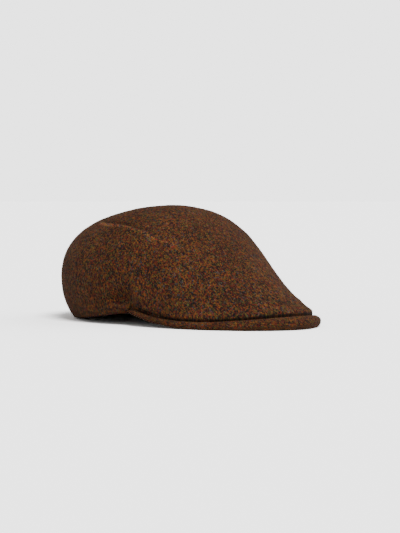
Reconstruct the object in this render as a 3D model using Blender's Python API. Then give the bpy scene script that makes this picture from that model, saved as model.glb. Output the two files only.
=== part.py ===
"""Duckbill cap in brown tweed, lying on the plane z = 0 as it rests by itself.

Units are metres, +Z up.  The front of the cap points along -Y, and the cap is the same on both sides
of the plane x = 0.  The shapes are worked out first in level axes, where the front of the head opening
is at height 0.  Then the whole cap is tipped until its back hem and its peak both touch the plane.
"""

import bmesh
import bpy
import numpy as np

# The head opening, measured over the crown's hem
RIM_LENGTH = 0.208
RIM_WIDTH = 0.176
RIM_SIDE_DROP = 0.008
RIM_BACK_DROP = 0.002

# The crown
CROWN_HEIGHT = 0.093
CROWN_BULGE = 0.008
CROWN_WALL = 0.0020
HEM_THICKNESS = 0.0032

# The peak, whose angles are in degrees from the front.  The hem starts a little way behind its corner,
# and the board and the rolled band end a little way before it.
PEAK_LENGTH = 0.064
PEAK_TIP_DROP = 0.036
PEAK_SIDE_DROP = 0.006
PEAK_CORNER_ANGLE = 70.0
HEM_START = 1.5
BOARD_STOP = 3.0
EDGE_STOP = 1.4
PEAK_CORNER_FLARE = 0.0045
PEAK_ROUNDNESS = 1.82
PEAK_THICKNESS = 0.0030

# The rolled band round the peak's edge
EDGE_TIP_WIDTH = 0.0100
EDGE_SIDE_WIDTH = 0.0075
EDGE_THICKNESS = 0.0066
EDGE_SQUARENESS = 2.6

# The sweatband, with its lean inward for each unit of height
BAND_HEIGHT = 0.026
BAND_THICKNESS = 0.0011
BAND_FRONT_LEAN = 0.45
BAND_SIDE_LEAN = 0.06

# The gap kept between touching pieces, and how deep the cloth is pressed where the cap rests
GAP = 0.0003
PRESSED_DEPTH = 0.001

# The crown's meridians.  Angles are in degrees round the crown from the front.  Out is a share of the
# crown's oval, which is the rim's oval grown by the bulge, and up is a share of the crown's height.
CROWN_COLUMNS = ("angle", "low_out", "low_up", "shoulder_out", "shoulder_up", "top_out")
CROWN_ROWS = (
    (0, 1.07, 0.06, 0.72, 0.45, 0.57),
    (35, 1.01, 0.00, 0.83, 0.58, 0.57),
    (70, 1.04, 0.15, 0.96, 0.84, 0.54),
    (100, 1.10, 0.19, 1.08, 0.88, 0.58),
    (140, 1.13, 0.24, 1.08, 0.95, 0.60),
    (180, 1.24, 0.25, 1.13, 0.92, 0.62),
)

# The crown's folds, raised or, where the rise is less than 0, sunk.  Each runs round the crown between
# two angles, at heights given as shares of the way from edge to apex, and fades towards its ends.
# Its half width is such a share too, and its rise is a share of the crown's height.
FOLD_COLUMNS = ("from_angle", "to_angle", "from_share", "to_share", "half_width", "rise")
CROWN_FOLDS = (
    (36, 150, 0.58, 0.66, 0.065, -0.015),
    (36, 128, 0.49, 0.50, 0.060, 0.009),
    (58, 82, 0.09, 0.12, 0.070, -0.034),
    (50, 70, 0.10, 0.14, 0.080, 0.018),
)

# How finely the surfaces are divided
FRONT_STEPS = 44
BACK_STEPS = 41
CROWN_STEPS = 16
PEAK_STEPS = 3
EDGE_SIDES = 10
BAND_STEPS = 72
SMOOTH_ANGLE = 50.0
WELD_DISTANCE = 0.00001

# The pitches, in degrees, between which the cap's resting pitch is sought, and how many times they halve
PITCH_RANGE = (-30.0, 45.0)
PITCH_HALVINGS = 50


def unit(vectors):
    """The vectors at length 1."""
    return vectors / np.linalg.norm(vectors, axis=-1, keepdims=True)


def lesser(size, limit):
    """The lesser of two lengths, with a soft change from one to the other."""
    return size * limit / np.cbrt(size ** 3 + limit ** 3)


def points(x, y, z):
    """Points from their coordinates."""
    return np.stack(np.broadcast_arrays(x, y, z), axis=-1)


def rim_points(angle, inset=0.0):
    """Points on the rim's oval, or inside it by the inset.  The rim hangs lowest at the sides."""
    turn = np.radians(angle)
    forward = np.cos(turn)
    height = -RIM_SIDE_DROP * (1 - forward ** 2) - RIM_BACK_DROP * np.minimum(forward, 0) ** 2
    return points(
        (RIM_WIDTH / 2 - inset) * np.sin(turn),
        -(RIM_LENGTH / 2 - inset) * forward,
        height,
    )


def peak_frame(share):
    """The peak's outline and its directions, for shares from -1 at one corner to 1 at the other.

    Returns the outline, the peak's width from the rim, and the unit vectors outward along the peak
    and up from it.
    """
    turn = share * np.pi / 2
    power = 2.0 / PEAK_ROUNDNESS
    corner = rim_points(PEAK_CORNER_ANGLE)
    reach = RIM_LENGTH / 2 + PEAK_LENGTH + corner[1]
    side = np.sign(share) * np.abs(np.sin(turn)) ** power
    front = np.abs(np.cos(turn)) ** power
    away = 1 - share ** 2
    end_height = corner[2] + edge_size(np.float64(1), PEAK_CORNER_FLARE)[1] / 2
    outline = points(
        (corner[0] + PEAK_CORNER_FLARE) * side,
        corner[1] - reach * front,
        -PEAK_TIP_DROP * away - 4 * PEAK_SIDE_DROP * share ** 2 * away + end_height * np.abs(share) ** 3,
    )
    across = outline - rim_points(share * PEAK_CORNER_ANGLE)
    outward = unit(across)
    up = unit(np.cross(outward, np.gradient(outline, axis=0)))
    return outline, np.linalg.norm(across, axis=-1), outward, up


def edge_size(share, peak_width):
    """Width and thickness of the rolled band, which shrinks where the peak is narrow."""
    full_width = EDGE_SIDE_WIDTH + (EDGE_TIP_WIDTH - EDGE_SIDE_WIDTH) * (1 - share ** 2) ** 2
    width = lesser(peak_width, full_width)
    return width, EDGE_THICKNESS * width / full_width


def shape_peak():
    """The stiff board: a cross-section at each step from corner to corner."""
    end = 1 - BOARD_STOP / PEAK_CORNER_ANGLE
    share = np.linspace(-end, end, FRONT_STEPS)
    outline, width, outward, up = peak_frame(share)
    rim = rim_points(share * PEAK_CORNER_ANGLE)
    margin = rim_points(share * PEAK_CORNER_ANGLE, HEM_THICKNESS + BAND_THICKNESS)
    board_width = width - edge_size(share, width)[0] - GAP
    middle = [margin]
    for step in range(PEAK_STEPS + 1):
        middle.append(rim + outward * (board_width * step / PEAK_STEPS)[:, None])
    top = [line + up * PEAK_THICKNESS / 2 for line in middle]
    bottom = [line - up * PEAK_THICKNESS / 2 for line in reversed(middle)]
    return np.stack(top + bottom, axis=1)


def shape_edge():
    """The rolled band: a rounded cross-section at each step along the peak's outline."""
    end = 1 - EDGE_STOP / PEAK_CORNER_ANGLE
    share = np.linspace(-end, end, FRONT_STEPS + 1)
    outline, peak_width, outward, up = peak_frame(share)
    width, thickness = edge_size(share, peak_width)
    rings = []
    for side in range(EDGE_SIDES):
        angle = 2 * np.pi * (side + 0.5) / EDGE_SIDES
        across = np.sign(np.cos(angle)) * np.abs(np.cos(angle)) ** (2 / EDGE_SQUARENESS)
        height = np.sign(np.sin(angle)) * np.abs(np.sin(angle)) ** (2 / EDGE_SQUARENESS)
        inward = outward * (width * (across - 1) / 2)[:, None]
        rings.append(outline + inward + up * (thickness * height / 2)[:, None])
    return np.stack(rings, axis=1)


def shape_sweatband():
    """The satin band: a thin upright cross-section at each step round the head opening."""
    angle = np.arange(BAND_STEPS) * 360.0 / BAND_STEPS
    front = np.maximum(np.cos(np.radians(angle)), 0) ** 2
    lean = BAND_SIDE_LEAN + (BAND_FRONT_LEAN - BAND_SIDE_LEAN) * front
    seat = PEAK_THICKNESS / 2 + GAP
    rings = []
    for thickness, height in ((0, 0), (0, 1), (1, 1), (1, 0)):
        inset = HEM_THICKNESS + thickness * BAND_THICKNESS
        foot = rim_points(angle, inset)
        inward = rim_points(angle, inset + BAND_HEIGHT) - foot
        inward[:, 2] = 0
        leaned = inward * (lean * height)[:, None]
        rings.append(foot + leaned + points(0, 0, seat + height * BAND_HEIGHT))
    return np.stack(rings, axis=1)


def column(name, angle):
    """A column of the crown's table at any angle, smooth through its rows and even on both sides."""
    knots = np.array([row[0] for row in CROWN_ROWS], float)
    values = np.array([row[CROWN_COLUMNS.index(name)] for row in CROWN_ROWS])
    all_knots = np.concatenate([[-knots[1]], knots, [360 - knots[-2]]])
    all_values = np.concatenate([[values[1]], values, [values[-2]]])
    slopes = (all_values[2:] - all_values[:-2]) / (all_knots[2:] - all_knots[:-2])
    left = np.clip(np.searchsorted(knots, angle, side="right") - 1, 0, len(knots) - 2)
    length = knots[left + 1] - knots[left]
    share = (angle - knots[left]) / length
    ease = share ** 2 * (3 - 2 * share)
    leaving = slopes[left] * length * share * (1 - share) ** 2
    arriving = slopes[left + 1] * length * share ** 2 * (share - 1)
    return values[left] * (1 - ease) + values[left + 1] * ease + leaving + arriving


def crown_edges():
    """The crown's lower edge, once round: the line of its outer face and the line of its inner face.

    In front of the corners it lies on the peak, just inside the rolled band, and behind them it is
    the hem of the head opening.
    """
    share = np.linspace(-1, 1, FRONT_STEPS + 1)
    outline, peak_width, outward, up = peak_frame(share)
    inward = edge_size(share, peak_width)[0] + GAP
    seat = outline - outward * inward[:, None] + up * (PEAK_THICKNESS / 2 + GAP)
    first = PEAK_CORNER_ANGLE + HEM_START
    angle = np.linspace(first, 360 - first, BACK_STEPS)
    outer = np.concatenate([seat + up * CROWN_WALL, rim_points(angle)])
    inner = np.concatenate([seat, rim_points(angle, HEM_THICKNESS)])
    return outer, inner


def fold_rise(angle, along):
    """How far the folds lift the crown, at each angle and each share of the way to the apex."""
    rise = 0
    for row in CROWN_FOLDS:
        fold = dict(zip(FOLD_COLUMNS, row))
        share = (angle - fold["from_angle"]) / (fold["to_angle"] - fold["from_angle"])
        fade = np.sin(np.pi * np.clip(share, 0, 1)) ** 2
        middle = fold["from_share"] + (fold["to_share"] - fold["from_share"]) * share
        spread = np.exp(-((along - middle[:, None]) / fold["half_width"]) ** 2)
        rise = rise + fold["rise"] * CROWN_HEIGHT * fade[:, None] * spread
    return rise


def outward_normals(surface):
    """Unit normals of the crown's grid of points, whose last row is the apex."""
    around = np.roll(surface, -1, axis=0) - np.roll(surface, 1, axis=0)
    normals = np.cross(around, np.gradient(surface, axis=1))
    normals[:, -1] = (0, 0, 1)
    return unit(normals)


def shape_crown():
    """The crown: a cross-section of the wall from edge to apex and back, at each step round."""
    edge, inner_edge = crown_edges()
    turn = np.arctan2(edge[:, 0], -edge[:, 1])
    angle = np.abs(np.degrees(turn))
    half_length = RIM_LENGTH / 2 + CROWN_BULGE
    half_width = RIM_WIDTH / 2 + CROWN_BULGE
    oval = half_length * half_width / np.hypot(half_width * np.cos(turn), half_length * np.sin(turn))
    controls = (
        (np.hypot(edge[:, 0], edge[:, 1]), edge[:, 2]),
        (column("low_out", angle) * oval, column("low_up", angle) * CROWN_HEIGHT),
        (column("shoulder_out", angle) * oval, column("shoulder_up", angle) * CROWN_HEIGHT),
        (column("top_out", angle) * oval, CROWN_HEIGHT + 0 * oval),
        (0 * oval, CROWN_HEIGHT + 0 * oval),
    )
    along = np.linspace(0, 1, CROWN_STEPS + 1)
    out = 0
    rise = 0
    for number, weight in enumerate((1, 4, 6, 4, 1)):
        blend = weight * (1 - along) ** (4 - number) * along ** number
        out = out + controls[number][0][:, None] * blend
        rise = rise + controls[number][1][:, None] * blend
    outer = points(out * np.sin(turn)[:, None], -out * np.cos(turn)[:, None], rise)
    lift = fold_rise(angle, along)
    lift[:, 0] = 0
    outer = outer + outward_normals(outer) * lift[..., None]
    inner = outer - outward_normals(outer) * CROWN_WALL
    inner[:, 0] = inner_edge
    return np.concatenate([outer, inner[:, ::-1]], axis=1)


def tip(shape, pitch):
    """The points with the front raised by this pitch, in radians."""
    x, y, z = np.moveaxis(shape, -1, 0)
    return points(x, y * np.cos(pitch) + z * np.sin(pitch), z * np.cos(pitch) - y * np.sin(pitch))


def settle(shapes):
    """Lay the cap on the plane z = 0, on its back hem and its peak, and press the cloth flat there."""
    lowest, highest = np.radians(PITCH_RANGE)
    for _ in range(PITCH_HALVINGS):
        pitch = (lowest + highest) / 2
        tipped = np.concatenate([tip(shape, pitch).reshape(-1, 3) for shape in shapes])
        front = tipped[tipped[:, 1] < 0, 2].min()
        back = tipped[tipped[:, 1] > 0, 2].min()
        if front < back:
            lowest = pitch
        else:
            highest = pitch
    floor = tipped[:, 2].min() + PRESSED_DEPTH
    middle = (tipped[:, 1].min() + tipped[:, 1].max()) / 2
    settled = []
    for shape in shapes:
        placed = tip(shape, pitch) - (0, middle, floor)
        placed[..., 2] = np.maximum(placed[..., 2], 0)
        settled.append(placed)
    return settled


def make_material(name, colour, roughness):
    """A cloth finish of one colour."""
    material = bpy.data.materials.new(name)
    material.use_nodes = True
    shader = material.node_tree.nodes["Principled BSDF"]
    shader.inputs["Base Color"].default_value = (*colour, 1)
    shader.inputs["Roughness"].default_value = roughness
    shader.inputs["Metallic"].default_value = 0
    return material


def make_object(name, rings, material, closed_loop):
    """Skin a run of cross-sections.  The run is closed on itself, or has a face at each end."""
    mesh = bpy.data.meshes.new(name)
    model = bmesh.new()
    corners = [[model.verts.new(point) for point in ring] for ring in rings]
    runs = len(corners) if closed_loop else len(corners) - 1
    for step in range(runs):
        ring = corners[step]
        other = corners[(step + 1) % len(corners)]
        for side in range(len(ring)):
            following = (side + 1) % len(ring)
            model.faces.new((ring[side], other[side], other[following], ring[following]))
    if not closed_loop:
        model.faces.new(corners[0])
        model.faces.new(corners[-1])
    bmesh.ops.remove_doubles(model, verts=model.verts, dist=WELD_DISTANCE)
    bmesh.ops.triangulate(model, faces=model.faces)
    bmesh.ops.recalc_face_normals(model, faces=model.faces)
    model.to_mesh(mesh)
    model.free()
    mesh.shade_smooth()
    mesh.set_sharp_from_angle(angle=np.radians(SMOOTH_ANGLE))
    mesh.materials.append(material)
    item = bpy.data.objects.new(name, mesh)
    bpy.context.scene.collection.objects.link(item)
    return item


def build():
    """Model the four pieces of the cap."""
    for item in list(bpy.data.objects):
        bpy.data.objects.remove(item, do_unlink=True)
    tweed = make_material("brown_tweed", (0.067, 0.031, 0.017), 0.95)
    under_tweed = make_material("peak_tweed", (0.058, 0.027, 0.015), 0.95)
    edge_tweed = make_material("edge_tweed", (0.062, 0.029, 0.016), 0.95)
    satin = make_material("brown_satin", (0.071, 0.038, 0.031), 0.45)
    crown, peak, edge, band = settle([shape_crown(), shape_peak(), shape_edge(), shape_sweatband()])
    make_object("crown", crown, tweed, closed_loop=True)
    make_object("peak", peak, under_tweed, closed_loop=False)
    make_object("peak_edge", edge, edge_tweed, closed_loop=False)
    make_object("sweatband", band, satin, closed_loop=True)


build()
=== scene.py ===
import bmesh
import bpy
import numpy as np
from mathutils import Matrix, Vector, noise


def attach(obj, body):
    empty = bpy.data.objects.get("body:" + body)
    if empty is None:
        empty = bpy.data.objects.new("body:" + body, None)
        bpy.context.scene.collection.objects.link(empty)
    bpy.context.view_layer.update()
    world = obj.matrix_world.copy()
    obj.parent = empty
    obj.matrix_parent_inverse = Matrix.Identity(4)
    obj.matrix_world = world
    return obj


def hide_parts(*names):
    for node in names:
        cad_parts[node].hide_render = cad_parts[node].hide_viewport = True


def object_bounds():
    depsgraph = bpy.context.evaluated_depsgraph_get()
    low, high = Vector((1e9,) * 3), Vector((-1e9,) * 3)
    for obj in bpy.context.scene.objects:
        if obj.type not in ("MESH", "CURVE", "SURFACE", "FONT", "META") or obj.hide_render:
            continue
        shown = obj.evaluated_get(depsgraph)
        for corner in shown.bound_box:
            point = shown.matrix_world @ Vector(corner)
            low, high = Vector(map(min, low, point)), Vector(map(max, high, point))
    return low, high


# The looks of the duckbill cap.  Lengths are metres, +Z up, and the front of the cap points along -Y.
# Each cloth piece is skinned from the same formulas as its solid, in a finer grid and with its own
# rolls, seams and puckers, and takes that solid's place.

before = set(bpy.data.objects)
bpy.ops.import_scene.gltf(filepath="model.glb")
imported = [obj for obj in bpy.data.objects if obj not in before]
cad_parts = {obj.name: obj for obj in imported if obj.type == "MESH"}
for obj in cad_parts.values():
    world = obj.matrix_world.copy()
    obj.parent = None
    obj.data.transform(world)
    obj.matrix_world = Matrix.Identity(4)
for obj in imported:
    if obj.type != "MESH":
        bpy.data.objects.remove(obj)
cad_low, cad_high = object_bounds()

# The head opening and the crown
RIM_LENGTH = 0.208
RIM_WIDTH = 0.176
RIM_SIDE_DROP = 0.008
RIM_BACK_DROP = 0.002
CROWN_HEIGHT = 0.093
CROWN_BULGE = 0.008
CROWN_WALL = 0.0020
HEM_THICKNESS = 0.0032
HEM_TAPER = 1 / 16

# The peak and its rolled band, with angles in degrees from the front
PEAK_LENGTH = 0.0655
PEAK_TIP_DROP = 0.037
PEAK_SIDE_DROP = 0.006
PEAK_CORNER_ANGLE = 70.0
HEM_START = 1.5
BOARD_STOP = 1.0
PEAK_CORNER_FLARE = 0.0045
PEAK_ROUNDNESS = 1.82
PEAK_THICKNESS = 0.0030
NARROW_BOARD = 0.006
EDGE_TIP_WIDTH = 0.0134
EDGE_SIDE_WIDTH = 0.0055
EDGE_TIP_THICKNESS = 0.0115
EDGE_SIDE_THICKNESS = 0.0042
EDGE_SQUARENESS = 2.4
EDGE_TIP_RISE = 0.0004
PANEL_TIP_RISE = 0.0042

# The sweatband, with its lean inward for each unit of height
BAND_HEIGHT = 0.026
BAND_THICKNESS = 0.0011
BAND_FRONT_LEAN = 0.45
BAND_SIDE_LEAN = 0.06
BAND_ROUNDING = 0.35
BAND_ROUNDING_REACH = 0.0008

# The gap between pieces, how deep the cloth is pressed at rest, and the search for the resting pitch
GAP = 0.0003
PRESSED_DEPTH = 0.001
PITCH_RANGE = (-30.0, 45.0)
PITCH_HALVINGS = 50

# The crown's meridians: angles in degrees from the front, then shares of its oval and of its height
CROWN_COLUMNS = ("angle", "low_out", "low_up", "shoulder_out", "shoulder_up", "top_out")
CROWN_ROWS = (
    (0, 1.07, 0.06, 0.72, 0.45, 0.57),
    (35, 1.01, 0.00, 0.83, 0.58, 0.57),
    (70, 1.04, 0.15, 0.96, 0.84, 0.54),
    (100, 1.10, 0.19, 1.08, 0.88, 0.58),
    (140, 1.13, 0.24, 1.08, 0.95, 0.60),
    (180, 1.24, 0.25, 1.13, 0.92, 0.62),
)

# The crown's folds: where each runs, in degrees and in shares of the way from edge to apex, its half
# width as such a share, and its rise as a share of the crown's height.  Side is -1 for the wearer's
# right, 1 for the left and 0 for both.
FOLD_COLUMNS = ("side", "from_angle", "to_angle", "from_share", "to_share", "half_width", "rise")
CROWN_FOLDS = (
    (0, 36, 150, 0.58, 0.66, 0.065, -0.015),
    (0, 36, 128, 0.49, 0.50, 0.060, 0.009),
    (0, 58, 82, 0.09, 0.12, 0.070, -0.034),
    (0, 50, 70, 0.10, 0.14, 0.080, 0.018),
    (-1, 30, 120, 0.474, 0.690, 0.022, 0.006),
    (-1, 20, 150, 0.460, 0.760, 0.011, 0.007),
    (-1, 20, 150, 0.482, 0.782, 0.014, -0.009),
    (-1, 28, 128, 0.500, 0.480, 0.038, -0.014),
    (1, 34, 126, 0.530, 0.525, 0.028, 0.005),
    (1, 38, 126, 0.485, 0.480, 0.040, -0.009),
    (-1, 66, 84, 0.085, 0.110, 0.034, -0.020),
    (1, 66, 84, 0.085, 0.105, 0.034, -0.013),
)

# Painted light along a fold: how much paler its crest is painted as a highlight, and below 0 how
# much darker beside it is painted as shade, in the same columns
PAINTED_CREST_LIGHT_AND_SHADE = (
    (-1, 20, 150, 0.458, 0.758, 0.012, 1.60),
    (-1, 20, 150, 0.482, 0.782, 0.014, -0.45),
)

# Seams and soft unevenness of the cloth, and the painted shade along its seams and grooves
SEAM_CURL_DEPTH = 0.0022
SEAM_CURL_REACH = 0.0016
# Painted shade reaches this far from the crown's seam and from the band's groove
SEAM_SHADE_REACH = 0.0011
SEAM_END_ANGLES = (PEAK_CORNER_ANGLE - 1, PEAK_CORNER_ANGLE + 4)
HEM_CURL_DEPTH = 0.0009
HEM_CURL_REACH = 0.0010
HEM_STITCH_PLACE = 0.0052
HEM_STITCH_DEPTH = 0.0004
HEM_STITCH_REACH = 0.0010
PUCKER_LENGTH = 0.0085
PUCKER_HEIGHT = 0.00030
PUCKER_REACH = 0.0080
PUCKER_EVENNESS = 0.6
PUCKER_WANDER = 4
PUCKERS_IN_WANDER = 3
UNEVEN_LAYERS = ((0.040, 0.0006), (0.014, 0.00022))
UNEVEN_START = 0.010
PANEL_PUFF = 0.0006
PANEL_PUFF_START = 0.012
PANEL_PUFF_END = 0.008
PANEL_LIP_HEIGHT = 0.0007
PANEL_LIP_PLACE = 0.0010
PANEL_LIP_REACH = 0.0007
# How dark the painted shade behind the underside panel's lip is
PANEL_LIP_SHADE = 0.6
PANEL_STRIP_WIDTH = 0.0060
STRIP_DEPTH = 0.0012
STRIP_EASE = 0.0025
# How far the painted shade by the band's seam under the peak reaches
STRIP_SHADE_REACH = 0.0012
BOARD_TUCK = 0.0016
EDGE_KNOB_SIZE = 0.0022
EDGE_KNOB_HEIGHT = 0.00018
EDGE_TUCK_SHARE = 0.07
EDGE_TUCK_ANGLE = 2.5
EDGE_TUCK_INSET = HEM_THICKNESS / 4
EDGE_END_SIZE = 0.35
HEM_LIP_HEIGHT = 0.0017
HEM_LIP_START = 0.0024
HEM_LIP_DRIFT = 0.00030
HEM_LIP_DRIFT_ANGLE = 12
HEM_LIP_REACH = 0.0020
HEM_LIP_ANGLES = (64.0, 70.0, 78.0, 94.0)
CORNER_DENT_DEPTH = 0.0030
CORNER_DENT_PLACE = 0.0125
CORNER_DENT_REACH = 0.0042
CORNER_DENT_ANGLES = (62.0, 70.0, 73.0, 84.0)
BOARD_LINE_HEIGHT = 0.0006
BOARD_LINE_PLACE = 0.0180
BOARD_LINE_REACH = 0.0030
BOARD_LINE_ANGLES = (-1.0, 0.0, 20.0, 44.0)

# How far out from the apex the weave starts to bunch, since flat cloth can't lie round a dome
WEAVE_SPREAD = 0.26

# How finely the surfaces are divided, and how near two points are to be joined
FRONT_STEPS = 221
BACK_STEPS = 205
CROWN_STEPS = 180
CROWN_GRADING = 1.35
INNER_STEPS = 26
PEAK_TOP_STEPS = 4
PEAK_UNDER_STEPS = 60
EDGE_SIDES = 30
BAND_STEPS = 300
BAND_ROWS = 12
WELD_DISTANCE = 0.000002

# The tweed: its yarns and flecks, how its shade varies, and the colours that its fibres are dyed, with
# each one's share
YARN_PITCH = 0.0009
YARN_ROUNDING = 2.6
YARN_DRIFT = 0.9
YARN_DRIFT_SCALE = 260.0
YARN_COLOUR_RUNS = 0.3
YARN_COLOUR_SHARE = 0.35
YARN_SHADE = 0.62
YARN_CREST_SHADE = 0.5
TWILL_REPEAT = 4.0
TWILL_OVER = 2.0
FLECK_WIDTH = 0.00070
FLECK_LENGTH = 0.00130
FIBRE_SCALE = 2600.0
FIBRE_SHADE = 0.45
FIBRE_RELIEF = 0.8
CLOUD_SCALE = 34.0
CLOUD_SHADE = 0.62
# How strongly the painted shading darkens seams and creases as painted shade, or pales crests as painted
# highlight
PAINTED_SHADING_STRENGTH = 0.88
TWEED_RELIEF = 0.0005
TWEED_COLOURS = (
    (0.21, (0.0036, 0.0038, 0.0062)),
    (0.20, (0.014, 0.0066, 0.0042)),
    (0.20, (0.034, 0.0155, 0.0094)),
    (0.13, (0.130, 0.018, 0.0092)),
    (0.12, (0.190, 0.060, 0.0106)),
    (0.11, (0.088, 0.071, 0.0152)),
    (0.03, (0.048, 0.056, 0.068)),
)
TWEED_SURFACE = {
    "Roughness": 0.95,
    "Specular IOR Level": 0.15,
    "Sheen Weight": 0.03,
    "Sheen Roughness": 0.5,
    "Sheen Tint": (0.60, 0.36, 0.22, 1),
}

# Each tweed's strength of colour, its brightness and its relief
TWEEDS = {
    "crown_tweed": (1.0, 1.0, 0.55),
    "peak_tweed": (0.7, 0.92, 0.40),
    # The band's brightness above 1 is painted light: its tweed is made paler to make up for the shade it
    # lies in
    "edge_tweed": (1.0, 1.15, 0.80),
}

# The satin: its threads and ribs, and how its shade varies
SATIN_COLOUR = (0.071, 0.038, 0.031)
SATIN_STREAK_SCALES = (260.0, 4200.0)
SATIN_RIB_PITCH = 0.0011
SATIN_RIB_RELIEF = 0.35
SATIN_CLOUD_SCALE = 60.0
SATIN_SHADE = 0.62
SATIN_SHADE_RANGE = 0.4
SATIN_RELIEF = 0.0001
SATIN_SURFACE = {
    "Roughness": 0.42,
    "Specular IOR Level": 0.45,
    "Sheen Weight": 0.1,
    "Sheen Roughness": 0.3,
}

# Loose wool fibres: their size and lie, then how many each surface has, whether its grid of points
# faces out (1) or in (-1), and the seed of their places
FUZZ_LENGTH = 0.0013
FUZZ_WIDTH = 0.00005
FUZZ_EVENNESS = 4
FUZZ_RISE = 0.55
FUZZ_LIFT = 0.2
FUZZ_CURL = 0.42
FUZZ_BRIGHTNESS = 1.25
FUZZ_SURFACE = {"Roughness": 0.8, "Specular IOR Level": 0.2}
CROWN_FUZZ = {"count": 32000, "facing": 1, "seed": 11}
EDGE_FUZZ = {"count": 5000, "facing": 1, "seed": 12}
PEAK_FUZZ = {"count": 4500, "facing": -1, "seed": 13}

# The view: degrees round the cap from its front, and above the floor, with the photograph's scale
IMAGE_HEIGHT = 533
SCALE_PIXELS = 1062.0
CAMERA_AZIMUTH = -42.0
CAMERA_ELEVATION = 2.5
CAMERA_DISTANCE = 1.5
CENTRE_LEFT_PIXELS = 9.5
CENTRE_UP_PIXELS = 3.5

# How bright the surroundings are, level with the floor and overhead, with the shares of the way up
# where each is reached, and how pale the studio shows
HORIZON_PLACE = 0.12
HORIZON_LEVEL = 0.70
OVERHEAD_PLACE = 0.60
OVERHEAD_LEVEL = 0.32
BACKDROP_LEVEL = 3.0
FLOOR_LEVEL = 2.4
FLOOR_PAINT = 0.85
FLOOR_RADIUS = 40
FLOOR_SIDES = 96

# The lights: degrees round the cap and above the floor, strength, and spread in degrees
SUNS = {
    "key_light": (-15, 58, 3.0, 28),
    "side_light": (75, 40, 0.7, 50),
}


def unit(vectors):
    """The vectors at length 1."""
    return vectors / np.linalg.norm(vectors, axis=-1, keepdims=True)


def lesser(size, limit):
    """The lesser of two lengths, with a soft change from one to the other."""
    return size * limit / np.cbrt(size ** 3 + limit ** 3)


def points(x, y, z):
    """Points from their coordinates."""
    return np.stack(np.broadcast_arrays(x, y, z), axis=-1)


def fade(value, start, end):
    """0 at the start and before it, 1 at the end and past it, and smooth between."""
    share = np.clip((value - start) / (end - start), 0, 1)
    return share ** 2 * (3 - 2 * share)


def swell(value, limits):
    """0 outside the first and last limit, and 1 between the middle two."""
    first, second, third, last = limits
    return fade(value, first, second) * (1 - fade(value, third, last))


def bump(distance, reach):
    """A soft bump, 1 in its middle."""
    return np.exp(-((distance / reach) ** 2))


def grain(places, size):
    """Smooth noise between about -1 and 1 at each place, with lumps of this size."""
    flat = places.reshape(-1, 3) / size
    return np.array([noise.noise(Vector(place)) for place in flat]).reshape(places.shape[:-1])


def run_lengths(lines):
    """Lengths along each line of points, from its first point."""
    steps = np.linalg.norm(np.diff(lines, axis=-2), axis=-1)
    zero = np.zeros(steps.shape[:-1] + (1,))
    return np.concatenate([zero, np.cumsum(steps, axis=-1)], axis=-1)


def rim_points(angle, inset=0.0):
    """Points on the rim's oval, or inside it by the inset.  The rim hangs lowest at the sides."""
    turn = np.radians(angle)
    forward = np.cos(turn)
    height = -RIM_SIDE_DROP * (1 - forward ** 2) - RIM_BACK_DROP * np.minimum(forward, 0) ** 2
    return points(
        (RIM_WIDTH / 2 - inset) * np.sin(turn),
        -(RIM_LENGTH / 2 - inset) * forward,
        height,
    )


def peak_frame(share):
    """The peak's outline, its width from the rim, and its unit vectors outward and up.

    Shares run from -1 at one corner to 1 at the other.
    """
    turn = share * np.pi / 2
    power = 2.0 / PEAK_ROUNDNESS
    corner = rim_points(PEAK_CORNER_ANGLE)
    reach = RIM_LENGTH / 2 + PEAK_LENGTH + corner[1]
    side = np.sign(share) * np.abs(np.sin(turn)) ** power
    front = np.abs(np.cos(turn)) ** power
    away = 1 - share ** 2
    end_height = corner[2] + edge_size(np.float64(1), PEAK_CORNER_FLARE)[1] / 2
    outline = points(
        (corner[0] + PEAK_CORNER_FLARE) * side,
        corner[1] - reach * front,
        -PEAK_TIP_DROP * away - 4 * PEAK_SIDE_DROP * share ** 2 * away + end_height * np.abs(share) ** 3,
    )
    across = outline - rim_points(share * PEAK_CORNER_ANGLE)
    outward = unit(across)
    up = unit(np.cross(outward, np.gradient(outline, axis=0)))
    return outline, np.linalg.norm(across, axis=-1), outward, up


def fullness(share):
    """How full the peak's edge is: 1 at its tip and 0 at its corners."""
    return (1 - share ** 2) ** 2


def edge_size(share, peak_width):
    """Width and thickness of the rolled band, which shrinks towards the corners of the peak."""
    full_width = EDGE_SIDE_WIDTH + (EDGE_TIP_WIDTH - EDGE_SIDE_WIDTH) * fullness(share)
    thickness = EDGE_SIDE_THICKNESS + (EDGE_TIP_THICKNESS - EDGE_SIDE_THICKNESS) * fullness(share)
    width = lesser(peak_width, full_width)
    return width, thickness * width / full_width


def column(name, angle):
    """A column of the crown's table at any angle, smooth through its rows and even on both sides."""
    knots = np.array([row[0] for row in CROWN_ROWS], float)
    values = np.array([row[CROWN_COLUMNS.index(name)] for row in CROWN_ROWS])
    all_knots = np.concatenate([[-knots[1]], knots, [360 - knots[-2]]])
    all_values = np.concatenate([[values[1]], values, [values[-2]]])
    slopes = (all_values[2:] - all_values[:-2]) / (all_knots[2:] - all_knots[:-2])
    left = np.clip(np.searchsorted(knots, angle, side="right") - 1, 0, len(knots) - 2)
    length = knots[left + 1] - knots[left]
    share = (angle - knots[left]) / length
    ease = share ** 2 * (3 - 2 * share)
    leaving = slopes[left] * length * share * (1 - share) ** 2
    arriving = slopes[left + 1] * length * share ** 2 * (share - 1)
    return values[left] * (1 - ease) + values[left + 1] * ease + leaving + arriving


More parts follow.
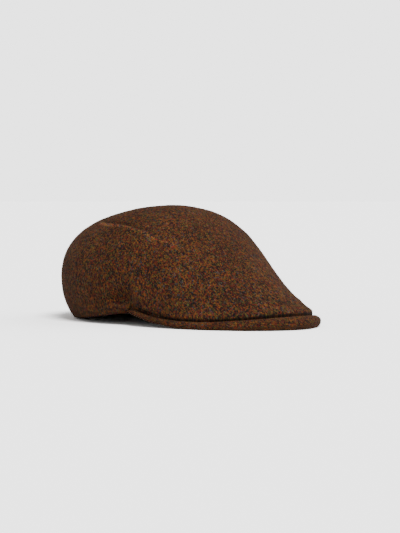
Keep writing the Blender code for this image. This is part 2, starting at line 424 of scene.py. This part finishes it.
def crown_edges():
    """The crown's lower edge, once round: its outer line and its inner line."""
    share = np.linspace(-1, 1, FRONT_STEPS)
    outline, peak_width, outward, up = peak_frame(share)
    inward = edge_size(share, peak_width)[0] + GAP
    seat = outline - outward * inward[:, None] + up * (PEAK_THICKNESS / 2 + GAP)
    first = PEAK_CORNER_ANGLE + HEM_START
    angle = np.linspace(first, 360 - first, BACK_STEPS)
    raised = CROWN_WALL + PANEL_TIP_RISE * fullness(share)
    outer = np.concatenate([seat + up * raised[:, None], rim_points(angle)])
    inner = np.concatenate([seat, rim_points(angle, HEM_THICKNESS)])
    return outer, inner


def crown_surface(edge, along):
    """The crown's smooth outer face: a row of points from edge to apex at each step round."""
    turn = np.arctan2(edge[:, 0], -edge[:, 1])
    angle = np.abs(np.degrees(turn))
    half_length = RIM_LENGTH / 2 + CROWN_BULGE
    half_width = RIM_WIDTH / 2 + CROWN_BULGE
    oval = half_length * half_width / np.hypot(half_width * np.cos(turn), half_length * np.sin(turn))
    controls = (
        (np.hypot(edge[:, 0], edge[:, 1]), edge[:, 2]),
        (column("low_out", angle) * oval, column("low_up", angle) * CROWN_HEIGHT),
        (column("shoulder_out", angle) * oval, column("shoulder_up", angle) * CROWN_HEIGHT),
        (column("top_out", angle) * oval, CROWN_HEIGHT + 0 * oval),
        (0 * oval, CROWN_HEIGHT + 0 * oval),
    )
    out = 0
    rise = 0
    for number, weight in enumerate((1, 4, 6, 4, 1)):
        blend = weight * (1 - along) ** (4 - number) * along ** number
        out = out + controls[number][0][:, None] * blend
        rise = rise + controls[number][1][:, None] * blend
    return points(out * np.sin(turn)[:, None], -out * np.cos(turn)[:, None], rise)


def fold_rise(turn, along, rows):
    """The rise of all these folds, at each signed turn and each share of the way to the apex."""
    angle = np.abs(np.degrees(turn))
    rise = 0
    for row in rows:
        fold = dict(zip(FOLD_COLUMNS, row))
        shown = np.where(np.sign(turn) * fold["side"] >= 0, 1.0, 0.0)
        share = (angle - fold["from_angle"]) / (fold["to_angle"] - fold["from_angle"])
        strength = shown * np.sin(np.pi * np.clip(share, 0, 1)) ** 2
        middle = fold["from_share"] + (fold["to_share"] - fold["from_share"]) * share
        spread = bump(along - middle[:, None], fold["half_width"])
        rise = rise + fold["rise"] * strength[:, None] * spread
    return rise


def outward_normals(surface):
    """Unit normals of the crown's grid of points, whose last row is the apex."""
    around = np.roll(surface, -1, axis=0) - np.roll(surface, 1, axis=0)
    normals = np.cross(around, np.gradient(surface, axis=1))
    normals[:, -1] = (0, 0, 1)
    return unit(normals)


def seam_relief(surface, turn):
    """How far seams, rolls and puckers lift the crown's outer face, and its unevenness."""
    from_edge = run_lengths(surface)
    angle = np.abs(np.degrees(turn))[:, None]
    behind = fade(angle, *SEAM_END_ANGLES)
    curl = SEAM_CURL_DEPTH * bump(from_edge, SEAM_CURL_REACH) * (1 - behind)
    hem = HEM_CURL_DEPTH * bump(from_edge, HEM_CURL_REACH) * behind
    stitch = HEM_STITCH_DEPTH * bump(from_edge - HEM_STITCH_PLACE, HEM_STITCH_REACH) * behind
    drift_angle = np.clip(angle - HEM_LIP_ANGLES[0], 0, HEM_LIP_DRIFT_ANGLE)
    lip_place = HEM_LIP_START + HEM_LIP_DRIFT * drift_angle
    lip = HEM_LIP_HEIGHT * bump(from_edge - lip_place, HEM_LIP_REACH) * swell(angle, HEM_LIP_ANGLES)
    ridge = BOARD_LINE_HEIGHT * bump(from_edge - BOARD_LINE_PLACE, BOARD_LINE_REACH)
    lip = lip + ridge * swell(angle, BOARD_LINE_ANGLES)
    dent = CORNER_DENT_DEPTH * bump(from_edge - CORNER_DENT_PLACE, CORNER_DENT_REACH)
    dent = dent * swell(angle, CORNER_DENT_ANGLES)
    around = run_lengths(surface[:, 0])[:, None]
    wander = grain(surface[:, 0], PUCKERS_IN_WANDER * PUCKER_LENGTH)[:, None]
    waves = np.sin(2 * np.pi * around / PUCKER_LENGTH + PUCKER_WANDER * wander)
    pucker = PUCKER_HEIGHT * waves * (PUCKER_EVENNESS + wander) * np.exp(-from_edge / PUCKER_REACH)
    relief = pucker * (1 - bump(from_edge, SEAM_CURL_REACH)) - curl - hem - stitch + lip - dent
    clear = fade(from_edge, 0, UNEVEN_START)
    for size, height in UNEVEN_LAYERS:
        relief = relief + height * clear * grain(surface, size)
    return relief


def shape_crown():
    """The crown's outer face, then its whole cross-sections with their cloth coordinates and painted
    shading.

    The painted shading is painted shade, darkest in the seam's groove and beside a fold's crest.  It is
    below 0 where a painted highlight makes the nap pale along the crest.
    """
    edge, inner_edge = crown_edges()
    turn = np.arctan2(edge[:, 0], -edge[:, 1])
    along = np.linspace(0, 1, CROWN_STEPS + 1) ** CROWN_GRADING
    smooth = crown_surface(edge, along)
    lift = CROWN_HEIGHT * fold_rise(turn, along, CROWN_FOLDS)
    lift[:, 0] = 0
    folded = smooth + outward_normals(smooth) * lift[..., None]
    outer = folded + outward_normals(folded) * seam_relief(folded, turn)[..., None]
    kept = np.unique(np.linspace(0, CROWN_STEPS, INNER_STEPS).astype(int))
    at_hem = np.clip(1 - along[kept] / HEM_TAPER, 0, 1)[None, :, None]
    walls = -outward_normals(folded)[:, kept] * CROWN_WALL
    inner = folded[:, kept] + walls * (1 - at_hem) + (inner_edge - edge)[:, None] * at_hem
    reach = run_lengths(outer)
    from_apex = reach[:, -1:] - reach
    flat = from_apex / np.sqrt(1 + (from_apex / WEAVE_SPREAD) ** 2)
    cloth = points(flat * np.sin(turn)[:, None], -flat * np.cos(turn)[:, None], 0)
    sections = np.concatenate([outer, inner[:, ::-1]], axis=1)
    cloths = np.concatenate([cloth, cloth[:, kept][:, ::-1]], axis=1)
    in_front = 1 - fade(np.abs(np.degrees(turn))[:, None], *SEAM_END_ANGLES)
    # Painted shade that darkens the cloth along the seam's groove in front
    seam = bump(reach, SEAM_SHADE_REACH) * in_front
    # Painted highlight along a fold's crest, with painted shade beside it
    painted_crest_light = fold_rise(turn, along, PAINTED_CREST_LIGHT_AND_SHADE)
    painted_shading = np.concatenate([seam - painted_crest_light, np.zeros(inner.shape[:2])], axis=1)
    return outer, sections, cloths, painted_shading


def shape_peak():
    """The board's under face, then its whole cross-sections with their cloth coordinates and painted shade.
    """
    end = 1 - BOARD_STOP / PEAK_CORNER_ANGLE
    share = np.linspace(-end, end, FRONT_STEPS)
    _, width, outward, up = peak_frame(share)
    rim = rim_points(share * PEAK_CORNER_ANGLE)
    margin = rim_points(share * PEAK_CORNER_ANGLE, HEM_THICKNESS + BAND_THICKNESS)
    board_width = width - edge_size(share, width)[0] + BOARD_TUCK
    margin_width = np.linalg.norm(rim - margin, axis=-1)
    strip = PANEL_STRIP_WIDTH * (1 - share ** 2)[:, None] ** 2

    def line(steps):
        """Points across the board, from its margin inside the rim to the rolled band."""
        from_margin = np.linspace(0, 1, steps)[None, :] * (board_width + margin_width)[:, None]
        reach = from_margin - margin_width[:, None]
        behind = np.clip(-reach / margin_width[:, None], 0, 1)[..., None]
        over = rim[:, None] + outward[:, None] * np.maximum(reach, 0)[..., None]
        return over + (margin - rim)[:, None] * behind, reach

    top, _ = line(PEAK_TOP_STEPS)
    under, reach = line(PEAK_UNDER_STEPS)
    to_band = board_width[:, None] - BOARD_TUCK - reach
    lip = PANEL_LIP_HEIGHT * bump(to_band - strip - PANEL_LIP_PLACE, PANEL_LIP_REACH)
    puff = PANEL_PUFF * fade(to_band, strip, strip + PANEL_PUFF_END) * fade(reach, 0, PANEL_PUFF_START)
    fold = STRIP_DEPTH * fade(strip, 0, PANEL_STRIP_WIDTH) * (1 - fade(to_band, strip, strip + STRIP_EASE))
    shown = fade(board_width, 0, NARROW_BOARD)[:, None]
    depth = PEAK_THICKNESS / 2 + (lip + puff + fold) * shown
    under = under - up[:, None] * depth[..., None]
    sections = np.concatenate([top + up[:, None] * PEAK_THICKNESS / 2, under[:, ::-1]], axis=1)
    cloths = sections * (1, 1, 0)
    # Painted shade by the band's seam and behind the panel's lip
    shade_behind_lip = bump(to_band - strip - 2 * PANEL_LIP_PLACE, PANEL_LIP_REACH)
    seam = bump(to_band, STRIP_SHADE_REACH) + PANEL_LIP_SHADE * shade_behind_lip
    painted_shading = np.concatenate([np.zeros(top.shape[:2]), np.clip(seam, 0, 1)[:, ::-1]], axis=1)
    return under, sections, cloths, painted_shading


def shape_edge():
    """The rolled band's cross-sections with their cloth coordinates and painted shade by its groove."""
    share = np.linspace(-1, 1, 2 * FRONT_STEPS)
    outline, peak_width, outward, up = peak_frame(share)
    width, thickness = edge_size(share, peak_width)
    full = fade(1 - np.abs(share), 0, EDGE_TUCK_SHARE) ** 0.5
    outline = outline + up * (EDGE_TIP_RISE * fullness(share))[:, None]
    tucked = rim_points(np.sign(share) * (PEAK_CORNER_ANGLE + EDGE_TUCK_ANGLE), EDGE_TUCK_INSET)
    outline = outline * full[:, None] + tucked * (1 - full)[:, None]
    left = EDGE_END_SIZE + (1 - EDGE_END_SIZE) * full
    width, thickness = width * left, thickness * left
    angle = 2 * np.pi * (np.arange(EDGE_SIDES) + 0.5) / EDGE_SIDES
    across = np.sign(np.cos(angle)) * np.abs(np.cos(angle)) ** (2 / EDGE_SQUARENESS)
    height = np.sign(np.sin(angle)) * np.abs(np.sin(angle)) ** (2 / EDGE_SQUARENESS)
    inward = outward[:, None] * (width[:, None] * (across - 1) / 2)[..., None]
    lifted = up[:, None] * (thickness[:, None] * height / 2)[..., None]
    sections = outline[:, None] + inward + lifted
    middle = sections.mean(axis=1, keepdims=True)
    knobs = EDGE_KNOB_HEIGHT * grain(sections, EDGE_KNOB_SIZE)
    sections = sections + unit(sections - middle) * knobs[..., None]
    closed = np.concatenate([sections, sections[:, :1]], axis=1)
    girth = run_lengths(closed)[:, :-1]
    # Painted shade on the band's side next to its groove
    painted_shading = bump(width[:, None] * (across + 1) / 2, SEAM_SHADE_REACH)
    length = run_lengths(outline)[:, None]
    diagonal = np.sqrt(0.5)
    cloths = points((length + girth) * diagonal, (length - girth) * diagonal, 0)
    return sections, cloths, painted_shading


def shape_sweatband():
    """The satin band's cross-sections and their cloth coordinates."""
    angle = np.arange(BAND_STEPS) * 360.0 / BAND_STEPS
    front = np.maximum(np.cos(np.radians(angle)), 0) ** 2
    lean = BAND_SIDE_LEAN + (BAND_FRONT_LEAN - BAND_SIDE_LEAN) * front
    seat = PEAK_THICKNESS / 2 + GAP
    rows = np.linspace(0, 1, BAND_ROWS)
    runs = [(0, height) for height in rows] + [(1, height) for height in rows[::-1]]
    rings = []
    for side, height in runs:
        rounding = BAND_ROUNDING * bump((1 - abs(2 * height - 1)) * BAND_HEIGHT, BAND_ROUNDING_REACH)
        depth = side * (1 - rounding) + (1 - side) * rounding
        foot = rim_points(angle, HEM_THICKNESS + depth * BAND_THICKNESS)
        inward = rim_points(angle, HEM_THICKNESS + depth * BAND_THICKNESS + BAND_HEIGHT) - foot
        inward[:, 2] = 0
        rings.append(foot + inward * (lean * height)[:, None] + points(0, 0, seat + height * BAND_HEIGHT))
    sections = np.stack(rings, axis=1)
    around = np.linspace(0, run_lengths(np.vstack([rings[0], rings[0][:1]]))[-1], BAND_STEPS)
    heights = np.array([height for _, height in runs]) * BAND_HEIGHT
    cloths = points(around[:, None], heights[None, :], 0)
    return sections, cloths


def tip(shape, pitch):
    """The points with the front raised by this pitch, in radians."""
    x, y, z = np.moveaxis(shape, -1, 0)
    return points(x, y * np.cos(pitch) + z * np.sin(pitch), z * np.cos(pitch) - y * np.sin(pitch))


def resting_place(shapes):
    """The pitch at which the back hem and the peak both touch the floor, and the shift with it."""
    lowest, highest = np.radians(PITCH_RANGE)
    everything = np.concatenate([shape.reshape(-1, 3) for shape in shapes])
    for _ in range(PITCH_HALVINGS):
        pitch = (lowest + highest) / 2
        tipped = tip(everything, pitch)
        if tipped[tipped[:, 1] < 0, 2].min() < tipped[tipped[:, 1] > 0, 2].min():
            lowest = pitch
        else:
            highest = pitch
    middle = (tipped[:, 1].min() + tipped[:, 1].max()) / 2
    return pitch, np.array((0, middle, tipped[:, 2].min() + PRESSED_DEPTH))


def settle(shape, place):
    """The shape as it lies on the floor, with the cloth pressed flat there."""
    settled = tip(shape, place[0]) - place[1]
    settled[..., 2] = np.maximum(settled[..., 2], 0)
    return settled


def skin(name, sections, cloths, closed_loop, painted_shading=0.0):
    """Skin a run of cross-sections.  The run is closed on itself, or has a face at each end.

    The mesh carries the cloth coordinates and the painted shading: painted shade in seams and beside
    creases, and below 0 painted highlight along a crest.
    """
    count, sides = sections.shape[:2]
    number = np.arange(count * sides).reshape(count, sides)
    following = np.roll(number, -1, axis=0)
    if not closed_loop:
        number, following = number[:-1], following[:-1]
    corners = (number, following, np.roll(following, -1, axis=1), np.roll(number, -1, axis=1))
    faces = np.stack(corners, axis=-1).reshape(-1, 4).tolist()
    if not closed_loop:
        faces += [list(range(sides)), list(range((count - 1) * sides, count * sides))]
    mesh = bpy.data.meshes.new(name)
    mesh.from_pydata(sections.reshape(-1, 3).tolist(), [], faces)
    cloth = mesh.attributes.new("cloth", "FLOAT_VECTOR", "POINT")
    cloth.data.foreach_set("vector", cloths.reshape(-1).astype(np.float32))
    painted_shading_map = mesh.attributes.new("painted_shading_map", "FLOAT", "POINT")
    painted_shading_map.data.foreach_set("value", np.broadcast_to(painted_shading, (count, sides)).ravel().astype(np.float32))
    model = bmesh.new()
    model.from_mesh(mesh)
    bmesh.ops.remove_doubles(model, verts=model.verts, dist=WELD_DISTANCE)
    bmesh.ops.recalc_face_normals(model, faces=model.faces)
    model.to_mesh(mesh)
    model.free()
    mesh.shade_smooth()
    piece = bpy.data.objects.new(name, mesh)
    bpy.context.scene.collection.objects.link(piece)
    return piece


def make_fuzz(name, surface, count, facing, seed, clear=0.0):
    """Loose wool fibres: thin bent blades scattered over a grid of points, fewer where it is clear."""
    random = np.random.default_rng(seed)
    corner, right, ahead = surface[:-1, :-1], surface[1:, :-1], surface[:-1, 1:]
    normal = np.cross(right - corner, ahead - corner) * facing
    area = np.linalg.norm(normal, axis=-1)
    area = (area * (1 - np.broadcast_to(clear, surface.shape[:2])[:-1, :-1])).ravel()
    chosen = random.choice(area.size, size=count, p=area / area.sum())
    start, side, front = (part.reshape(-1, 3)[chosen] for part in (corner, right, ahead))
    root = start + (side - start) * random.random((count, 1)) + (front - start) * random.random((count, 1))
    away = unit(normal.reshape(-1, 3)[chosen])
    lean = unit(np.cross(away, random.normal(size=(count, 3))))
    heading = unit(away * FUZZ_RISE * random.random((count, 1)) + lean)
    length = FUZZ_LENGTH * random.gamma(FUZZ_EVENNESS, 1 / FUZZ_EVENNESS, (count, 1))
    bent = unit(heading + FUZZ_CURL * random.normal(size=(count, 3)) + away * FUZZ_LIFT)
    half = unit(np.cross(heading, random.normal(size=(count, 3)))) * FUZZ_WIDTH / 2
    waist = root + heading * length * 0.5
    end = waist + bent * length * 0.5
    corners = np.stack([root - half, root + half, waist - half, waist + half, end], axis=1)
    corners[..., 2] = np.maximum(corners[..., 2], 0)
    in_blade = corners.shape[1]
    first = np.arange(count)[:, None] * in_blade
    mesh = bpy.data.meshes.new(name)
    blades = (first + (0, 1, 3, 2)).tolist() + (first + (2, 3, 4)).tolist()
    mesh.from_pydata(corners.reshape(-1, 3).tolist(), [], blades)
    tint = mesh.attributes.new("tint", "FLOAT", "POINT")
    tint.data.foreach_set("value", np.repeat(random.random(count), in_blade).astype(np.float32))
    piece = bpy.data.objects.new(name, mesh)
    bpy.context.scene.collection.objects.link(piece)
    return piece


class Finish:
    """A material's node tree, with short ways to add to it."""

    def __init__(self, name):
        self.material = bpy.data.materials.new(name)
        self.material.use_nodes = True
        self.tree = self.material.node_tree
        self.shader = self.tree.nodes["Principled BSDF"]

    def feed(self, socket, value):
        """Give a socket another node's output, or a plain value."""
        if isinstance(value, bpy.types.NodeSocket):
            self.tree.links.new(value, socket)
        else:
            socket.default_value = value

    def add(self, kind, inputs=None, **settings):
        """A new node with these settings and inputs."""
        node = self.tree.nodes.new("ShaderNode" + kind)
        for key, value in settings.items():
            setattr(node, key, value)
        for key, value in (inputs or {}).items():
            self.feed(node.inputs[key], value)
        return node

    def math(self, operation, *values):
        """The result of a sum on one, two or three values."""
        return self.add("Math", dict(enumerate(values)), operation=operation).outputs[0]

    def vector(self, operation, *values):
        """The result of a sum on vectors."""
        return self.add("VectorMath", dict(enumerate(values)), operation=operation).outputs[0]

    def attribute(self, name, output):
        """A value that the mesh carries."""
        return self.add("Attribute", attribute_name=name).outputs[output]

    def ramp(self, value, stops, interpolation):
        """Colours by a value, from (place, colour) pairs."""
        node = self.add("ValToRGB", {"Fac": value})
        elements = node.color_ramp.elements
        node.color_ramp.interpolation = interpolation
        while len(elements) < len(stops):
            elements.new(1.0)
        for element, (place, colour) in zip(elements, stops):
            element.position = place
            element.color = (*colour, 1)
        return node.outputs["Color"]

    def mix(self, factor, first, second, blend="MIX"):
        """Two colours mixed.  Sockets 6 and 7 and output 2 are the node's colours."""
        node = self.add("Mix", data_type="RGBA", blend_type=blend)
        self.feed(node.inputs["Factor"], factor)
        self.feed(node.inputs[6], first)
        self.feed(node.inputs[7], second)
        return node.outputs[2]

    def set(self, values):
        """Plain values of the shader, by the names of its sockets."""
        for name, value in values.items():
            self.shader.inputs[name].default_value = value


def dyed_stops():
    """The tweed's colours with the places where each starts."""
    place = 0.0
    stops = []
    for share, colour in TWEED_COLOURS:
        stops.append((place, colour))
        place += share
    return stops


def make_tweed(name, contrast, brightness, relief):
    """Wool tweed: a 2/2 twill of flecked yarns, with mixed fibres and a soft nap."""
    finish = Finish(name)
    cloth = finish.attribute("cloth", "Vector")
    place = finish.add("TexCoord").outputs["Object"]
    drift = finish.add("TexNoise", {"Vector": place, "Scale": YARN_DRIFT_SCALE, "Detail": 2.0})
    drift = finish.vector("SUBTRACT", drift.outputs["Color"], (0.5, 0.5, 0.5))
    drift = finish.vector("MULTIPLY", drift, (YARN_DRIFT * YARN_PITCH,) * 3)
    drifted = finish.vector("ADD", cloth, drift)
    threads = finish.vector("DIVIDE", drifted, (YARN_PITCH,) * 3)
    split = finish.add("SeparateXYZ", {0: threads}).outputs
    ends = finish.math("FLOOR", split[0])
    picks = finish.math("FLOOR", split[1])
    step = finish.math("FLOORED_MODULO", finish.math("ADD", ends, picks), TWILL_REPEAT)
    over = finish.math("LESS_THAN", step, TWILL_OVER)
    under = finish.math("SUBTRACT", 1.0, over)

    def crest(value):
        """The round of one yarn, from 0 at its sides to 1 at its middle."""
        place_in = finish.math("SUBTRACT", finish.math("FRACT", value), 0.5)
        return finish.math("COSINE", finish.math("MULTIPLY", place_in, YARN_ROUNDING))

    warp_height = finish.math("MULTIPLY", crest(split[0]), over)
    weft_height = finish.math("MULTIPLY", crest(split[1]), under)
    height = finish.math("ADD", warp_height, weft_height)

    def flecks(width, height):
        """A random number for each fleck of dyed wool in the yarns that run one way."""
        spread = finish.vector("DIVIDE", drifted, (width, height, 1.0))
        cells = finish.add("TexVoronoi", {"Vector": spread, "Scale": 1.0}, voronoi_dimensions="2D")
        return finish.add("SeparateColor", {0: cells.outputs["Color"]}).outputs[0]

    warp_fleck = finish.math("MULTIPLY", over, flecks(FLECK_WIDTH, FLECK_LENGTH))
    weft_fleck = finish.math("MULTIPLY", under, flecks(FLECK_LENGTH, FLECK_WIDTH))
    fleck = finish.math("ADD", warp_fleck, weft_fleck)
    run = finish.math("MULTIPLY", finish.math("ADD", split[0], split[1]), YARN_COLOUR_RUNS)
    yarn_cell = finish.add("CombineXYZ", {
        0: finish.math("MULTIPLY", ends, over),
        1: finish.math("MULTIPLY", picks, under),
        2: finish.math("FLOOR", run),
    }).outputs[0]
    yarn = finish.add("TexWhiteNoise", {"Vector": yarn_cell}).outputs["Value"]
    by_fleck = finish.ramp(fleck, dyed_stops(), "CONSTANT")
    by_yarn = finish.ramp(yarn, dyed_stops(), "CONSTANT")
    colour = finish.mix(YARN_COLOUR_SHARE, by_fleck, by_yarn)
    middle = tuple(sum(share * rgb[i] for share, rgb in TWEED_COLOURS) for i in range(3))
    colour = finish.mix(contrast, (*middle, 1), colour)
    fibres = finish.add("TexNoise", {"Vector": place, "Scale": FIBRE_SCALE, "Detail": 2.0}).outputs["Fac"]
    clouds = finish.add("TexNoise", {"Vector": place, "Scale": CLOUD_SCALE, "Detail": 3.0}).outputs["Fac"]
    by_fibre = finish.math("ADD", FIBRE_SHADE, fibres)
    by_cloud = finish.math("ADD", CLOUD_SHADE, clouds)
    by_crest = finish.math("ADD", YARN_SHADE, finish.math("MULTIPLY", height, YARN_CREST_SHADE))
    shade = finish.math("MULTIPLY", finish.math("MULTIPLY", by_fibre, by_cloud), by_crest)
    # Painted shade darkens the tweed in seams and beside creases, and painted highlight pales it along a
    # fold's crest
    painted_shading_amount = finish.math("MULTIPLY", finish.attribute("painted_shading_map", "Fac"), PAINTED_SHADING_STRENGTH)
    shade = finish.math("MULTIPLY", shade, finish.math("SUBTRACT", brightness, painted_shading_amount))
    grey = finish.add("CombineColor", {0: shade, 1: shade, 2: shade}).outputs[0]
    finish.feed(finish.shader.inputs["Base Color"], finish.mix(1.0, colour, grey, "MULTIPLY"))
    rough = finish.math("ADD", height, finish.math("MULTIPLY", fibres, FIBRE_RELIEF))
    relief_node = finish.add("Bump", {"Height": rough, "Distance": TWEED_RELIEF, "Strength": relief})
    finish.feed(finish.shader.inputs["Normal"], relief_node.outputs[0])
    finish.set(TWEED_SURFACE)
    return finish.material


def make_fuzz_material(name):
    """Wool fibres, each of one dyed colour."""
    finish = Finish(name)
    tint = finish.attribute("tint", "Fac")
    brighter = [(place, tuple(FUZZ_BRIGHTNESS * part for part in colour)) for place, colour in dyed_stops()]
    finish.feed(finish.shader.inputs["Base Color"], finish.ramp(tint, brighter, "CONSTANT"))
    finish.set(FUZZ_SURFACE)
    return finish.material


def make_satin(name):
    """Brown satin: a smooth warp face with a soft sheen and faint ribs."""
    finish = Finish(name)
    split = finish.add("SeparateXYZ", {0: finish.attribute("cloth", "Vector")}).outputs
    place = finish.add("TexCoord").outputs["Object"]
    streaks = finish.add("CombineXYZ", {
        0: finish.math("MULTIPLY", split[0], SATIN_STREAK_SCALES[0]),
        1: finish.math("MULTIPLY", split[1], SATIN_STREAK_SCALES[1]),
    }).outputs[0]
    threads = finish.add("TexNoise", {"Vector": streaks, "Scale": 1.0, "Detail": 2.0}).outputs["Fac"]
    ribs = finish.math("SINE", finish.math("MULTIPLY", split[0], 2 * np.pi / SATIN_RIB_PITCH))
    clouds = finish.add("TexNoise", {"Vector": place, "Scale": SATIN_CLOUD_SCALE, "Detail": 2.0})
    varied = finish.math("ADD", threads, clouds.outputs["Fac"])
    shade = finish.math("ADD", SATIN_SHADE, finish.math("MULTIPLY", varied, SATIN_SHADE_RANGE))
    grey = finish.add("CombineColor", {0: shade, 1: shade, 2: shade}).outputs[0]
    colour = finish.mix(1.0, (*SATIN_COLOUR, 1), grey, "MULTIPLY")
    finish.feed(finish.shader.inputs["Base Color"], colour)
    height = finish.math("ADD", finish.math("MULTIPLY", ribs, SATIN_RIB_RELIEF), threads)
    relief = finish.add("Bump", {"Height": height, "Distance": SATIN_RELIEF, "Strength": 0.5})
    finish.feed(finish.shader.inputs["Normal"], relief.outputs[0])
    finish.set(SATIN_SURFACE)
    return finish.material


def wear(piece, material, slot, *nodes):
    """Give a piece its material and body, and the solids that it stands for."""
    piece.data.materials.append(material)
    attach(piece, "root")
    if nodes:
        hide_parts(*nodes)


def make_cap():
    """All the cloth of the cap."""
    crown_face, crown, crown_cloth, crown_painted_shading = shape_crown()
    under_face, peak, peak_cloth, peak_painted_shading = shape_peak()
    edge, edge_cloth, edge_painted_shading = shape_edge()
    band, band_cloth = shape_sweatband()
    place = resting_place((crown, peak, edge, band))
    crown_tweed, peak_tweed, edge_tweed = (make_tweed(name, *look) for name, look in TWEEDS.items())
    fibre = make_fuzz_material("wool_fibre")
    wear(skin("crown_cloth", settle(crown, place), crown_cloth, True, crown_painted_shading),
         crown_tweed, "brown_tweed", "crown")
    wear(skin("peak_cloth", settle(peak, place), peak_cloth, False, peak_painted_shading),
         peak_tweed, "peak_tweed", "peak")
    wear(skin("peak_edge_cloth", settle(edge, place), edge_cloth, False, edge_painted_shading),
         edge_tweed, "edge_tweed", "peak_edge")
    wear(skin("sweatband_satin", settle(band, place), band_cloth, True), make_satin("band_satin"),
         "brown_satin", "sweatband")
    looped = np.concatenate([crown_face, crown_face[:1]], axis=0)
    # Fewer fibres where the crown's painted seam shade lies
    seam = np.clip(crown_painted_shading[:, :looped.shape[1]], 0, 1)
    seam = np.concatenate([seam, seam[:1]], axis=0)
    wear(make_fuzz("crown_fuzz", settle(looped, place), **CROWN_FUZZ, clear=seam), fibre, "brown_tweed")
    ringed = np.concatenate([edge, edge[:, :1]], axis=1)
    groove = np.concatenate([edge_painted_shading, edge_painted_shading[:, :1]], axis=1)
    wear(make_fuzz("edge_fuzz", settle(ringed, place), **EDGE_FUZZ, clear=groove), fibre, "edge_tweed")
    wear(make_fuzz("peak_fuzz", settle(under_face, place), **PEAK_FUZZ), fibre, "peak_tweed")


def make_floor():
    """A plain pale floor that runs out of sight."""
    bpy.ops.mesh.primitive_circle_add(vertices=FLOOR_SIDES, radius=FLOOR_RADIUS, fill_type="NGON")
    floor = bpy.context.object
    floor.name = "floor"
    finish = Finish("floor_paint")
    sight = finish.add("LightPath").outputs["Is Camera Ray"]
    paint = finish.math("MULTIPLY_ADD", sight, FLOOR_LEVEL - FLOOR_PAINT, FLOOR_PAINT)
    grey = finish.add("CombineColor", {0: paint, 1: paint, 2: paint}).outputs[0]
    matt = finish.add("BsdfDiffuse", {"Color": grey}).outputs[0]
    finish.feed(finish.tree.nodes["Material Output"].inputs["Surface"], matt)
    finish.tree.nodes.remove(finish.shader)
    floor.data.materials.append(finish.material)


def make_sun(name, azimuth, elevation, strength, spread):
    """A wide soft light from a direction given in degrees, as the camera's is."""
    data = bpy.data.lights.new(name, "SUN")
    data.energy = strength
    data.angle = np.radians(spread)
    lamp = bpy.data.objects.new(name, data)
    lamp.rotation_mode = "QUATERNION"
    lamp.rotation_quaternion = direction(azimuth, elevation).to_track_quat("Z", "Y")
    bpy.context.scene.collection.objects.link(lamp)


def direction(azimuth, elevation):
    """The way to a viewer who looks at the cap from this azimuth and elevation, in degrees."""
    a, e = np.radians(azimuth), np.radians(elevation)
    return Vector((np.sin(a) * np.cos(e), -np.cos(a) * np.cos(e), np.sin(e)))


def make_camera():
    """The photograph's view of the cap, from just above the floor."""
    data = bpy.data.cameras.new("camera")
    data.lens = SCALE_PIXELS * CAMERA_DISTANCE * data.sensor_width / IMAGE_HEIGHT
    camera = bpy.data.objects.new("camera", data)
    back = direction(CAMERA_AZIMUTH, CAMERA_ELEVATION)
    right = back.cross(Vector((0, 0, -1))).normalized()
    up = back.cross(right)
    aim = (cad_low + cad_high) / 2 + (right * CENTRE_LEFT_PIXELS - up * CENTRE_UP_PIXELS) / SCALE_PIXELS
    camera.location = aim + back * CAMERA_DISTANCE
    camera.rotation_mode = "QUATERNION"
    camera.rotation_quaternion = back.to_track_quat("Z", "Y")
    bpy.context.scene.collection.objects.link(camera)
    bpy.context.scene.camera = camera


def make_world():
    """Pale surroundings, brightest level with the floor and dimmer overhead."""
    world = bpy.data.worlds.new("studio")
    world.use_nodes = True
    tree = world.node_tree
    background = tree.nodes["Background"]
    place = tree.nodes.new("ShaderNodeTexCoord")
    split = tree.nodes.new("ShaderNodeSeparateXYZ")
    ramp = tree.nodes.new("ShaderNodeValToRGB")
    tree.links.new(place.outputs["Generated"], split.inputs[0])
    tree.links.new(split.outputs[2], ramp.inputs["Fac"])
    tree.links.new(ramp.outputs["Color"], background.inputs["Color"])
    sight = tree.nodes.new("ShaderNodeLightPath")
    shown = tree.nodes.new("ShaderNodeMath")
    shown.operation = "MULTIPLY_ADD"
    shown.inputs[1].default_value = BACKDROP_LEVEL / HORIZON_LEVEL - 1
    shown.inputs[2].default_value = 1.0
    tree.links.new(sight.outputs["Is Camera Ray"], shown.inputs[0])
    tree.links.new(shown.outputs[0], background.inputs["Strength"])
    stops = ((HORIZON_PLACE, HORIZON_LEVEL), (OVERHEAD_PLACE, OVERHEAD_LEVEL))
    for element, (height, level) in zip(ramp.color_ramp.elements, stops):
        element.position = height
        element.color = (level, level, level, 1)
    bpy.context.scene.world = world


make_camera()
make_world()
make_floor()
for sun_name, sun_values in SUNS.items():
    make_sun(sun_name, *sun_values)
make_cap()
